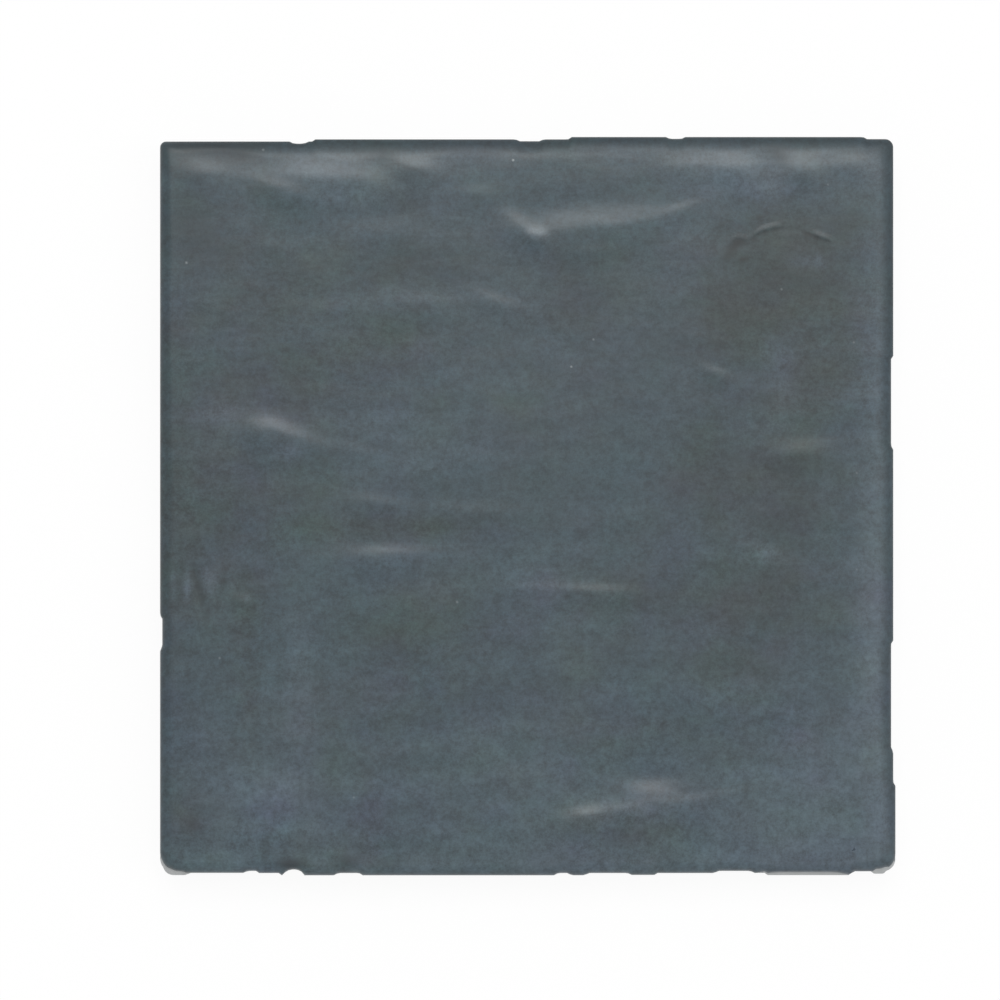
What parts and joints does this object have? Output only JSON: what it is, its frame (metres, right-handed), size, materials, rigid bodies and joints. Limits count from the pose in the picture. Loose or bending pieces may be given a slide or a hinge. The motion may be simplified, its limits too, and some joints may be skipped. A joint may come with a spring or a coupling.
{
  "type": "ceramic wall tile",
  "caption": "Square ceramic wall tile with a wavy, pillowed glossy face, uneven rolled edges, small rim chips and a back pressed with a grid of shallow pockets.",
  "frame": {"origin": "middle of the back, in the plane the tile rests on", "axes": "+Z out of the glazed face, +Y towards the side at the top of the picture, +X towards the side at its right"},
  "size_m": [0.1, 0.1004, 0.008],
  "materials": {
    "tile": "gloss glaze, mottled slate blue-grey, over a bare pale fired back and foot"
  },
  "bodies": {
    "root": {"tile": "tile"}
  },
  "joints": []
}
